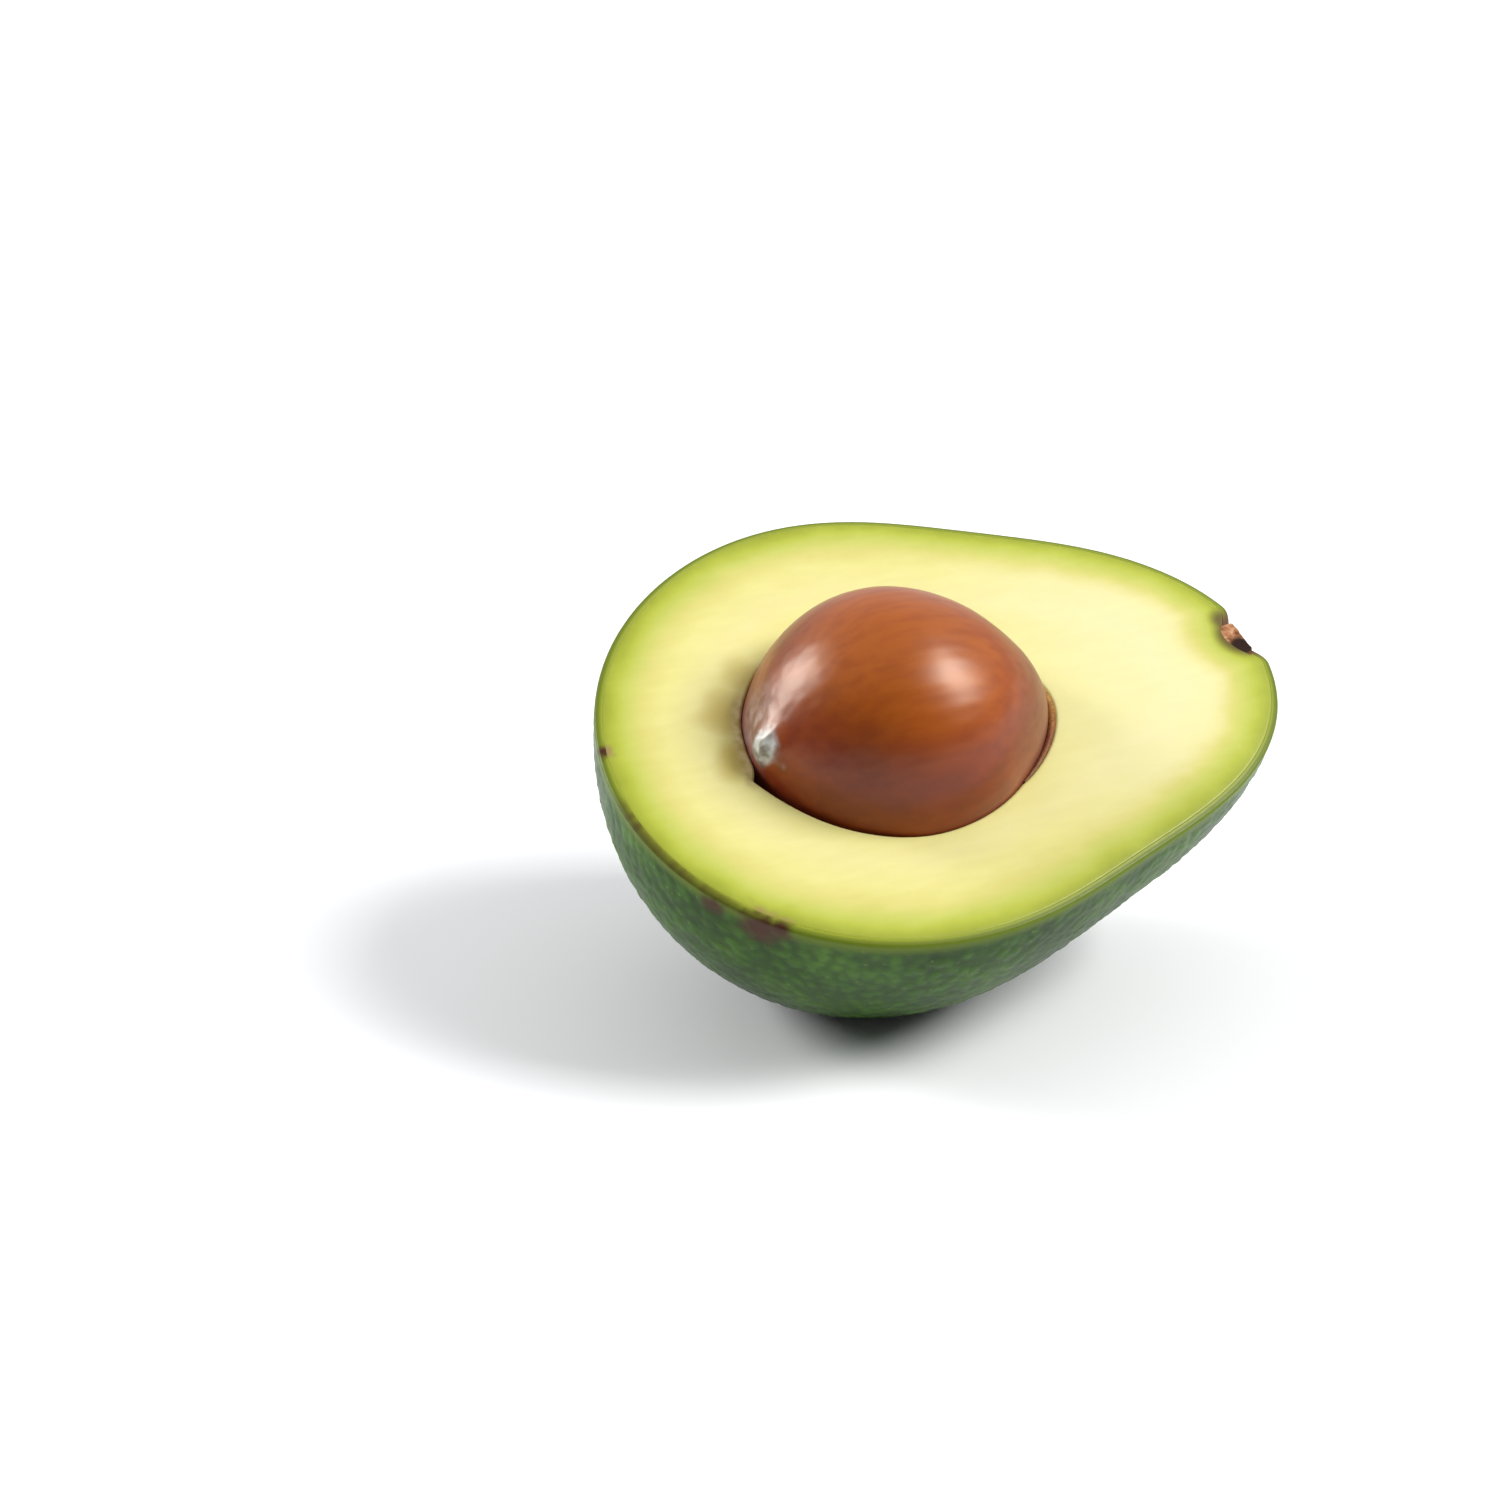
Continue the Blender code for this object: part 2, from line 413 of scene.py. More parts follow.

# %% [markdown]
# ### Peel finish
#
# Avocado peel is a waxy leather. Its wax gives a broad, soft sheen rather than a mirror, so the
# roughness is about 0.4 with a thin wax's IOR of 1.40. The grooves are painted darker than the
# crowns as painted shade, slow patches shift the green, and short streaks run from the stem. The
# underside is painted a darker green as painted shade. Near the cut the green turns olive, and the
# knife's edge shows the lime inner side of the peel. Bruises and the stem's hollow are brown. The
# colour is built in layers, as a painter would, and each layer is one noise or one paint.


# %% Peel finish: the greens of the back
def peel_greens(tree, place, read):
    """The back's green: slow patches, short streaks, pale pores, painted shade in grooves and below."""
    patch_noise = {"Vector": place, "Scale": 1 / (9 * MM), "Detail": 3.0}
    patches = add(tree, "ShaderNodeTexNoise", patch_noise).outputs["Fac"]
    greens = [(0.32, "#2d5008"), (0.68, "#4a7214"), (0.5, "#38610a")]
    color = add(tree, "ShaderNodeValToRGB", {"Fac": patches}, greens).outputs["Color"]
    # streaks along the fruit, 0.9 mm wide and 3 mm long
    longwise = add(tree, "ShaderNodeMapping", {"Vector": place, "Scale": (0.3, 1.0, 1.0)})
    streak_noise = {"Vector": longwise.outputs["Vector"], "Scale": 1 / (0.9 * MM), "Detail": 4.0}
    streaks = add(tree, "ShaderNodeTexNoise", streak_noise).outputs["Fac"]
    streak_ramp = [(0.3, "#b4bd98"), (0.72, "#ffffff")]
    streaks = add(tree, "ShaderNodeValToRGB", {"Fac": streaks}, streak_ramp).outputs["Color"]
    color = add(tree, "ShaderNodeMix", {0: 0.5, 6: color, 7: streaks}, **DARKEN).outputs[2]
    # pores show as pale dots 0.4 mm across, about 2 mm apart
    dots = {"Vector": place, "Scale": 1 / (2.0 * MM)}
    dots = add(tree, "ShaderNodeTexVoronoi", dots).outputs["Distance"]
    dots = {"Value": dots, "From Min": 0.16, "From Max": 0.06, "To Max": 0.2}
    dots = add(tree, "ShaderNodeMapRange", dots, interpolation_type="SMOOTHSTEP").outputs["Result"]
    color = add(tree, "ShaderNodeMix", {0: dots, 6: color, 7: linear("#9fb35c")}, **OVER).outputs[2]
    # painted shade: the grooves between the pebbles are painted darker
    groove_shade_ramp = [(0.0, "#bcc4a4"), (0.6, "#ffffff")]
    grooves = add(tree, "ShaderNodeValToRGB", {"Fac": read["pebble"]}, groove_shade_ramp).outputs["Color"]
    color = add(tree, "ShaderNodeMix", {0: 1.0, 6: color, 7: grooves}, **DARKEN).outputs[2]
    # painted shade: the underside, from 18 mm under the cut face down, is painted a darker green
    shade = {"Value": read["depth_mm"], "From Min": 18.0, "From Max": 34.0, "To Max": 0.85}
    shade = add(tree, "ShaderNodeMapRange", shade, interpolation_type="SMOOTHSTEP").outputs["Result"]
    return add(tree, "ShaderNodeMix", {0: shade, 6: color, 7: linear("#76825f")}, **DARKEN).outputs[2]


print("the middle green is", [round(part, 3) for part in linear("#38610a")[:3]], "in linear values")


# %% Peel finish: the cut edge and the brown marks
def peel_marks(tree, read, color):
    """The colour with the olive band, the knife's cut, the bruises and the stem's hollow on it."""
    # an olive band in the last 2 mm under the cut
    band = {"Value": read["depth_mm"], "From Min": 2.6, "From Max": 0.4, "To Max": 0.85}
    band = add(tree, "ShaderNodeMapRange", band, interpolation_type="SMOOTHSTEP").outputs["Result"]
    color = add(tree, "ShaderNodeMix", {0: band, 6: color, 7: linear("#647814")}, **OVER).outputs[2]
    # the cut through the peel, from dark olive outside to lime inside
    cut_ramp = [(0.0, "#576610"), (0.95, "#8f9a2c"), (0.5, "#697616")]
    cut = add(tree, "ShaderNodeValToRGB", {"Fac": read["inset_mm"]}, cut_ramp).outputs["Color"]
    is_cut = {"Value": read["inset_mm"], "From Min": 0.02, "From Max": 0.3}
    is_cut = add(tree, "ShaderNodeMapRange", is_cut, interpolation_type="SMOOTHSTEP")
    is_cut = is_cut.outputs["Result"]
    color = add(tree, "ShaderNodeMix", {0: is_cut, 6: color, 7: cut}, **OVER).outputs[2]
    for paint, brown in (("bruise", "#42220f"), ("stem_end", "#5e3f26")):
        laid = {0: read[paint], 6: color, 7: linear(brown)}
        color = add(tree, "ShaderNodeMix", laid, **OVER).outputs[2]
    return color


# %% Peel finish: wax and pores
def peel_finish():
    """The peel's material: its colours under an uneven wax with fine pores."""
    made, tree, shader = new_material("waxy_avocado_peel", roughness=0.4, ior=1.40)
    place = add(tree, "ShaderNodeTexCoord").outputs["Object"]
    read = {
        name: add(tree, "ShaderNodeAttribute", attribute_name=name).outputs["Fac"]
        for name in PEEL_PAINTS
    }
    color = peel_marks(tree, read, peel_greens(tree, place, read))
    tree.links.new(color, shader.inputs["Base Color"])
    wax_noise = {"Vector": place, "Scale": 1 / (0.7 * MM), "Detail": 4.0}
    wax = add(tree, "ShaderNodeTexNoise", wax_noise).outputs["Fac"]
    rough = add(tree, "ShaderNodeMapRange", {"Value": wax, "To Min": 0.28, "To Max": 0.50})
    tree.links.new(rough.outputs["Result"], shader.inputs["Roughness"])
    # pores of about 0.35 mm, too fine for the mesh
    pore_noise = {"Vector": place, "Scale": 1 / (0.35 * MM), "Detail": 3.0}
    pores = add(tree, "ShaderNodeTexNoise", pore_noise).outputs["Fac"]
    pores = add(tree, "ShaderNodeBump", {"Height": pores, "Strength": 0.3, "Distance": 0.06 * MM})
    tree.links.new(pores.outputs["Normal"], shader.inputs["Normal"])
    # wax reflects less than clear plastic does
    shader.inputs["Specular IOR Level"].default_value = 0.32
    return made


make_piece("pebbled_peel", "peel", peel, peel_finish())

# %% [markdown]
# ## Flesh
#
# The flesh is one soft body: a round back inside the peel, a face left flat by the knife, and the
# cavity that the seed sits in. A Boolean could cut the cavity, but it would leave a sharp, uneven
# edge. With a job for each ring the same ball runs down the back, over the flat face and on into the
# cavity, and the lip of the cavity is rounded as soft flesh is. On the stem's side the cavity stands
# off a little, which leaves room for the seed's papery coat.

# %% Cavity round the seed
LIP_ROUND = 0.45 * MM
SNUG = 0.05 * MM
SHRUNK_GAP = 0.35 * MM  # where the flesh has shrunk back from the seed's lower side
SHRUNK_TURN = math.radians(-128)
SHRUNK_REACH = math.radians(52)
COAT_SPACE = 1.0 * MM
COAT_TURN = math.radians(-14)  # where the space for the coat is widest
COAT_ENDS = (math.radians(30), math.radians(-44))  # from there to its two ends
COAT_DROP = math.radians(34)
COAT_FULLNESS = 0.75  # the crescent's ends close more bluntly as this gets smaller
TIP_TURN = math.radians(-169)
TIP_NOTCH = 1.5 * MM
TIP_NOTCH_ENDS = (math.radians(70), math.radians(-10))  # from TIP_TURN to its two ends
LEVEL_RISE = math.asin(-SEED_MIDDLE.z / SEED_RADII.z)  # from the seed's middle up to the face


def coat_space(turn, drop):
    """The space for the coat: a crescent along the face that closes at both ends and further down."""
    along = (turn - COAT_TURN) / (COAT_ENDS[0] if turn > COAT_TURN else COAT_ENDS[1])
    if along >= 1:
        return 0.0
    return COAT_SPACE * (1 - along**2) ** COAT_FULLNESS * fade(0.0, COAT_DROP, drop)


def cavity_point(turn, drop, outset):
    """A point of the cavity's wall, moved outwards by outset."""
    past_tip = math.remainder(turn - TIP_TURN, math.tau)
    past_tip /= TIP_NOTCH_ENDS[0] if past_tip > 0 else TIP_NOTCH_ENDS[1]
    notch = TIP_NOTCH * max(1 - past_tip, 0.0) ** 2.5 * fade(0.1, 0.5, drop)
    past_shrunk = abs(math.remainder(turn - SHRUNK_TURN, math.tau))
    shrunk = SHRUNK_GAP * fade(0.0, SHRUNK_REACH, past_shrunk) * fade(0.1, 0.6, drop)
    clear = SNUG + coat_space(turn, drop) + notch + shrunk
    return seed_point(facing(turn, drop), clear + outset)


print("the coat has", round(coat_space(COAT_TURN, 0.0) / MM, 2), "mm of room")


# %% Face left by the knife
FACE_WAVE = 0.10 * MM


def tree_of(points):
    """A search tree that finds the nearest of these points."""
    tree = kdtree.KDTree(len(points))
    for k, point in enumerate(points):
        tree.insert(point, k)
    tree.balance()
    return tree


TURNS = [math.tau * k / 1800 for k in range(1800)]
SKIN_LINE = tree_of([skin_point(facing(turn, 0.0)) for turn in TURNS])


def on_face(point):
    """The point brought to the height of the cut face, with the knife's slow waves in it."""
    flat = Vector((point.x, point.y, 0.0))
    inset = SKIN_LINE.find(flat)[2]
    wave = FACE_WAVE * noise.noise(flat / (9 * MM)) * fade(-3 * MM, -1 * MM, -inset)
    flat.z = wave - rim_fall(inset)
    return flat


print("the seed's middle is", round(SKIN_LINE.find(SEED_MIDDLE)[2] / MM, 1), "mm from the rim")


# %% Flesh shape
FLESH_STAGES = (("back", 26), ("edge", 3), ("face", 74), ("lip", 6), ("wall", 24))
FLESH_INSET = 0.97 * PEEL  # a little less than the peel, so that no gap shows between the two
FLESH_EDGE = 0.06 * MM


@functools.cache
def face_ends(turn):
    """Where the flat face starts at the peel and where it ends at the cavity."""
    outer = inside_rim(turn, FLESH_INSET + FLESH_EDGE, 0.0)
    return outer, cavity_point(turn, -LEVEL_RISE, LIP_ROUND)


def flesh_place(turn, stage, share):
    """The place of a vertex of the flesh."""
    if stage == "back":
        point, _ = skin(facing(turn, (1 - share) * math.radians(90)), FLESH_INSET)
        point.z -= (FLESH_EDGE + rim_fall(PEEL)) * share
        return point
    if stage == "edge":
        below = rim_fall(PEEL) + FLESH_EDGE * (1 - share)
        return inside_rim(turn, FLESH_INSET + share * FLESH_EDGE, -below)
    if stage == "face":
        outer, inner = face_ends(turn)
        return on_face(outer.lerp(inner, share))
    if stage == "lip":
        arc = share * math.radians(90)
        point = on_face(cavity_point(turn, -LEVEL_RISE, LIP_ROUND * (1 - math.sin(arc))))
        point.z -= LIP_ROUND * (1 - math.cos(arc))
        return point
    start = LIP_ROUND / SEED_RADII.z - LEVEL_RISE
    return cavity_point(turn, start + share * (math.radians(90) - start), 0.0)


print("rings from pole to pole:", sum(count for _, count in FLESH_STAGES))

# %% Where the flesh has turned ochre
FLESH_STAINS = (
    # middle (x, y) and reach in mm, and strength: ochre flesh round the seed's tip
    (Vector((-25.0, 6.5, 0)), 6.5, 1.0),
    (Vector((-28.0, 0.5, 0)), 5.0, 1.0),
    (Vector((-21.5, 12.5, 0)), 4.5, 0.6),
)


def stain(point):
    """How far the flesh has turned ochre, from 0 to 1."""
    flat = Vector((point.x, point.y, 0.0)) / MM
    spread = 1 + 0.6 * noise.noise(flat / 5.0)
    return max(
        strength * fade(0.1 * reach, reach, (flat - place).length * spread)
        for place, reach, strength in FLESH_STAINS
    )


print(len(FLESH_STAINS), "stains")

# %% Scraps of the seed's coat on the lip
PAPERY_TURN = math.radians(171)
PAPERY_REACH = math.radians(30)
PAPERY_WIDTH = 2.0 * MM


def papery(turn, point):
    """How much of the seed's coat sticks to the lip here, on the side of the seed's tip."""
    off = abs(math.remainder(turn - PAPERY_TURN, math.tau))
    edge = cavity_point(turn, -LEVEL_RISE, 0.0)
    away = math.hypot(point.x - edge.x, point.y - edge.y)
    ragged = PAPERY_WIDTH * (1 + 0.35 * noise.noise(point / (2.5 * MM)))
    return fade(0.5 * PAPERY_REACH, PAPERY_REACH, off) * fade(0.3 * ragged, ragged, away)


print("scraps along", round(2 * math.degrees(PAPERY_REACH)), "degrees of the lip")

# %% Flesh mesh
FLESH_PAINTS = ("skin_mm", "stain", "browned", "from_stem_mm", "cavity_mm", "papery")
STEM_BROWN = Vector((46.5, 0.9, 0.0)) * MM  # the middle of the brown flesh at the stem
RECESS_BROWN = Vector((45.7, 4.2, 0.0)) * MM  # and of a smaller mark beside it
RECESS_SMALLER_MM = 1.7
BRUISE_LEVEL = -0.4 * MM  # the height at which a bruise of the skin shows in the flesh


def flesh_mesh():
    """The flesh as a bmesh, with the paints that its finish reads."""
    bm, paints, places = ring_ball(ROUND, FLESH_STAGES, FLESH_PAINTS)
    insets, stains, browns, stems, hollows, papers = paints
    for vert, turn, stage, share in places:
        point = flesh_place(turn, stage, share)
        flat = Vector((point.x, point.y, 0.0))
        vert[insets] = SKIN_LINE.find(flat)[2] / MM
        vert[stains] = stain(point)
        vert[browns] = bruise(Vector((point.x, point.y, BRUISE_LEVEL)))
        from_recess = (flat - RECESS_BROWN).length / MM + RECESS_SMALLER_MM
        vert[stems] = min((flat - STEM_BROWN).length / MM, from_recess)
        vert[hollows] = -point.z / MM if stage in ("lip", "wall") else 0.0
        vert[papers] = papery(turn, point) if stage in ("face", "lip", "wall") else 0.0
        vert.co = lay_down(point, PEEL)
    return bm


flesh = flesh_mesh()
print("the flesh has", len(flesh.verts), "vertices")

# %% [markdown]
# ### Flesh finish
#
# Ripe avocado flesh is soft, fatty and moist. Light goes a millimetre or two into it, so it gets
# subsurface scattering, and its moist surface is a soft gloss of roughness about 0.4. The colour
# depends on the distance from the skin: lime green under the peel, then yellow, then cream. Slow
# noise moves those borders so that no ring looks drawn. Round the seed's tip it has turned ochre,
# and round the stem brown. Faint paler fibres run lengthwise.


# %% Flesh finish: from green under the peel to cream inside
RIPE_SPAN_MM = 18.0  # the colours below are spread over this distance from the skin
RIPE_COLORS = [
    (0.04, "#919a23"),
    (1.0, "#dfd88d"),
    (0.10, "#a1aa30"),
    (0.16, "#b2ba42"),
    (0.24, "#c1c55f"),
    (0.35, "#d3cc77"),
    (0.50, "#dfd88b"),
    (0.75, "#e2da97"),
]


def flesh_ripeness(tree, place, read):
    """The colour by distance from the skin, and that distance in mm with slow noise in it."""
    drift_noise = {"Vector": place, "Scale": 1 / (7 * MM), "Detail": 3.0, "Roughness": 0.6}
    drift = add(tree, "ShaderNodeTexNoise", drift_noise).outputs["Fac"]
    drift = add(tree, "ShaderNodeMath", {0: drift, 1: 0.5}, operation="SUBTRACT").outputs[0]
    drift = add(tree, "ShaderNodeMath", {0: drift, 1: 2.4}, operation="MULTIPLY").outputs[0]
    inset = add(tree, "ShaderNodeMath", {0: read["skin_mm"], 1: drift}, operation="ADD").outputs[0]
    span = {0: inset, 1: RIPE_SPAN_MM}
    span = add(tree, "ShaderNodeMath", span, operation="DIVIDE").outputs[0]
    color = add(tree, "ShaderNodeValToRGB", {"Fac": span}, RIPE_COLORS).outputs["Color"]
    return color, inset


print(len(RIPE_COLORS), "colours from the skin to the seed")


# %% Flesh finish: fibres, and the paler half towards the stem
def flesh_fibres(tree, place, color, inset):
    """The colour with faint fibres in it, and paler towards the stem."""
    # fibres along the fruit, about 1.6 mm wide, paler than the flesh between them
    longwise = add(tree, "ShaderNodeMapping", {"Vector": place, "Scale": (0.25, 1.0, 1.0)})
    fibre_noise = {"Vector": longwise.outputs["Vector"], "Scale": 1 / (1.6 * MM), "Detail": 3.0}
    fibres = add(tree, "ShaderNodeTexNoise", fibre_noise).outputs["Fac"]
    fibre_ramp = [(0.35, "#f1ecd8"), (0.65, "#ffffff")]
    fibres = add(tree, "ShaderNodeValToRGB", {"Fac": fibres}, fibre_ramp).outputs["Color"]
    color = add(tree, "ShaderNodeMix", {0: 0.25, 6: color, 7: fibres}, **DARKEN).outputs[2]
    # the half towards the stem is paler, apart from its green rim
    along = add(tree, "ShaderNodeSeparateXYZ", {"Vector": place}).outputs["X"]
    pale = {"Value": along, "From Min": 10 * MM, "From Max": 40 * MM, "To Max": 0.45}
    pale = add(tree, "ShaderNodeMapRange", pale, interpolation_type="SMOOTHSTEP").outputs["Result"]
    inner = {"Value": inset, "From Min": 5.0, "From Max": 9.0}
    inner = add(tree, "ShaderNodeMapRange", inner, interpolation_type="SMOOTHSTEP").outputs["Result"]
    pale = add(tree, "ShaderNodeMath", {0: pale, 1: inner}, operation="MULTIPLY").outputs[0]
    return add(tree, "ShaderNodeMix", {0: pale, 6: color, 7: linear("#e5dfb9")}, **OVER).outputs[2]


# %% Flesh finish: stains, browned places and scraps
def flesh_marks(tree, place, read, color):
    """The colour with ochre stains, painted shade in the cavity, brown places and scraps on it."""
    stain = add(tree, "ShaderNodeMath", {0: read["stain"], 1: 0.75}, operation="MULTIPLY").outputs[0]
    color = add(tree, "ShaderNodeMix", {0: stain, 6: color, 7: linear("#b19529")}, **OVER).outputs[2]
    # painted shade: the wall of the cavity is painted darker downwards
    wall = {"Value": read["cavity_mm"], "From Min": 0.2, "From Max": 2.5, "To Max": 0.8}
    wall = add(tree, "ShaderNodeMapRange", wall, interpolation_type="SMOOTHSTEP").outputs["Result"]
    color = add(tree, "ShaderNodeMix", {0: wall, 6: color, 7: linear("#987d37")}, **OVER).outputs[2]
    # browned flesh round the stem and beside the bruises
    stem = {"Value": read["from_stem_mm"], "From Min": 4.5, "From Max": 2.4, "To Max": 0.95}
    stem = add(tree, "ShaderNodeMapRange", stem, interpolation_type="SMOOTHSTEP").outputs["Result"]
    color = add(tree, "ShaderNodeMix", {0: stem, 6: color, 7: linear("#5c4c0c")}, **OVER).outputs[2]
    brown = add(tree, "ShaderNodeMath", {0: read["browned"], 1: 0.85}, operation="MULTIPLY").outputs[0]
    color = add(tree, "ShaderNodeMix", {0: brown, 6: color, 7: linear("#997a51")}, **OVER).outputs[2]
    # scraps of the seed's coat, wrinkled every 1.3 mm
    scrap_noise = {"Vector": place, "Scale": 1 / (1.3 * MM), "Detail": 2.0}
    scraps = add(tree, "ShaderNodeTexNoise", scrap_noise).outputs["Fac"]
    scrap_ramp = [(0.34, "#a08650"), (0.64, "#cdb78c")]
    scraps = add(tree, "ShaderNodeValToRGB", {"Fac": scraps}, scrap_ramp).outputs["Color"]
    papery_share = {0: read["papery"], 1: 0.7}
    papery_share = add(tree, "ShaderNodeMath", papery_share, operation="MULTIPLY").outputs[0]
    return add(tree, "ShaderNodeMix", {0: papery_share, 6: color, 7: scraps}, **OVER).outputs[2]


# %% Flesh finish: moist and soft
def flesh_finish():
    """The flesh's material: its colours, its moist gloss, its grain and the light inside it."""
    made, tree, shader = new_material("ripe_avocado_flesh", roughness=0.4, ior=1.42)
    place = add(tree, "ShaderNodeTexCoord").outputs["Object"]
    read = {
        name: add(tree, "ShaderNodeAttribute", attribute_name=name).outputs["Fac"]
        for name in FLESH_PAINTS
    }
    color, inset = flesh_ripeness(tree, place, read)
    color = flesh_fibres(tree, place, color, inset)
    tree.links.new(flesh_marks(tree, place, read, color), shader.inputs["Base Color"])
    moist_noise = {"Vector": place, "Scale": 1 / (2.5 * MM), "Detail": 4.0}
    moist = add(tree, "ShaderNodeTexNoise", moist_noise).outputs["Fac"]
    rough = add(tree, "ShaderNodeMapRange", {"Value": moist, "To Min": 0.32, "To Max": 0.55})
    tree.links.new(rough.outputs["Result"], shader.inputs["Roughness"])
    # grain of the cut flesh, about 0.5 mm
    grain_noise = {"Vector": place, "Scale": 1 / (0.5 * MM), "Detail": 3.0}
    grain = add(tree, "ShaderNodeTexNoise", grain_noise).outputs["Fac"]
    grain = add(tree, "ShaderNodeBump", {"Height": grain, "Strength": 0.25, "Distance": 0.05 * MM})
    tree.links.new(grain.outputs["Normal"], shader.inputs["Normal"])
    # red light goes 1.6 mm into the flesh, green 1.4 mm and blue 0.7 mm
    shader.inputs["Subsurface Weight"].default_value = 0.35
    shader.inputs["Subsurface Radius"].default_value = (1.6, 1.4, 0.7)
    shader.inputs["Subsurface Scale"].default_value = 1.0 * MM
    return made


make_piece("cut_flesh", "flesh", flesh, flesh_finish())

# %% [markdown]
# ## Seed
#
# The seed is an egg with a small blunt tip at its blossom end, wrapped in a thin brown skin. It feels
# polished, but its skin has faint veins that run from the tip and shallow dents. A ball with its
# poles at the two ends is moved to the egg's formula, and slow noise that is stretched from pole to
# pole gives the veins.

# %% Scar at the seed's tip
SCAR_WHOLE = math.radians(3.5)  # from the tip to where the scar starts to thin out
SCAR_GONE = math.radians(10.5)
HAZE_DIRECTION = Vector((-0.92, 0.14, 0.30)).normalized()  # the middle of a faint haze beside it
HAZE_REACH = math.radians(22)
HAZE_STRENGTH = 0.35


def scar(direction):
    """1 on the papery scar at the seed's tip, less at its ragged edge and in the haze, then 0."""
    off_tip = direction.angle(BEAK_DIRECTION)
    ragged = 1 + 0.45 * noise.noise(direction * 9.0) + 0.2 * noise.noise(direction * 20.0)
    haze = HAZE_STRENGTH * fade(0.0, HAZE_REACH, direction.angle(HAZE_DIRECTION))
    return max(fade(SCAR_WHOLE, SCAR_GONE, off_tip * ragged), haze)


print("the haze reaches", round(math.degrees(HAZE_REACH)), "degrees")

# %% Veins, dents and wrinkles
VEIN_HEIGHT = 0.03 * MM
VEIN_STRETCH = Vector((0.22, 1.0, 1.0))
DENT_DEPTH = 0.12 * MM
SCAR_WRINKLE = 0.22 * MM


def seed_relief(direction):
    """Height of the veins, the dents and the wrinkles of the scar."""
    veins = noise.noise(direction * VEIN_STRETCH * 14.0)
    dents = noise.noise(direction * 2.6 + Vector((3.1, 0.0, 1.7)))
    wrinkles = noise.noise(direction * 17.0) * scar(direction)
    return VEIN_HEIGHT * veins + DENT_DEPTH * dents + SCAR_WRINKLE * wrinkles


print("relief on the crown in mm:", round(seed_relief(Vector((0, 0, 1))) / MM, 3))

# %% Seed mesh
SEED_ROUND = 320
SEED_LONG = 220


def seed_mesh():
    """The seed as a bmesh, with paints for the scar and for the height over the cut face."""
    bm = bmesh.new()
    poles_on_x = Matrix.Rotation(math.pi / 2, 4, "Y")
    bmesh.ops.create_uvsphere(
        bm, u_segments=SEED_ROUND, v_segments=SEED_LONG, radius=1.0, matrix=poles_on_x
    )
    tips = bm.verts.layers.float.new("tip")
    heights = bm.verts.layers.float.new("above_mm")
    for vert in bm.verts:
        direction = vert.co.normalized()
        point = seed_point(direction, seed_relief(direction))
        vert[tips] = scar(direction)
        vert[heights] = point.z / MM
        vert.co = PLACE @ point
    return bm


seed = seed_mesh()
print("the seed has", len(seed.verts), "vertices")

# %% [markdown]
# ### Seed finish
#
# The seed's skin is like polished leather: reddish brown, with darker veins and a greyish papery
# scar at the tip. Its crown, which faces the light, is painted a brighter orange as painted light.
# It has a satin gloss, so its roughness is about 0.35, and its IOR of 1.55 is that of dry plant fibre.


# %% Seed finish: browns
def seed_browns(tree, place, longwise, read):
    """Slow brown patches, painted light as orange on the crown, fine darker veins, and the grey scar."""
    patch_noise = {"Vector": place, "Scale": 1 / (14 * MM), "Detail": 4.0, "Roughness": 0.55}
    patches = add(tree, "ShaderNodeTexNoise", patch_noise).outputs["Fac"]
    browns = [(0.3, "#6b2402"), (0.7, "#8e3c06"), (0.5, "#772802")]
    color = add(tree, "ShaderNodeValToRGB", {"Fac": patches}, browns).outputs["Color"]
    # painted light: the crown, 7 to 16 mm over the cut face, is painted a brighter orange
    crown = {"Value": read["above_mm"], "From Min": 7.0, "From Max": 16.0, "To Max": 0.85}
    crown = add(tree, "ShaderNodeMapRange", crown, interpolation_type="SMOOTHSTEP").outputs["Result"]
    color = add(tree, "ShaderNodeMix", {0: crown, 6: color, 7: linear("#a35208")}, **OVER).outputs[2]
    # veins 1.6 mm wide and 8 mm long
    vein_noise = {"Vector": longwise, "Scale": 1 / (1.6 * MM), "Detail": 5.0}
    veins = add(tree, "ShaderNodeTexNoise", vein_noise).outputs["Fac"]
    vein_ramp = [(0.35, "#d8b8a0"), (0.6, "#ffffff")]
    veins = add(tree, "ShaderNodeValToRGB", {"Fac": veins}, vein_ramp).outputs["Color"]
    color = add(tree, "ShaderNodeMix", {0: 0.5, 6: color, 7: veins}, **DARKEN).outputs[2]
    # the scar is dry, with grey and whitish flakes of 1.8 mm
    scar_noise = {"Vector": place, "Scale": 1 / (1.8 * MM), "Detail": 2.0}
    scars = add(tree, "ShaderNodeTexNoise", scar_noise).outputs["Fac"]
    scar_ramp = [(0.38, "#77746a"), (0.62, "#c4c6c4")]
    scars = add(tree, "ShaderNodeValToRGB", {"Fac": scars}, scar_ramp).outputs["Color"]
    return add(tree, "ShaderNodeMix", {0: read["tip"], 6: color, 7: scars}, **OVER).outputs[2]


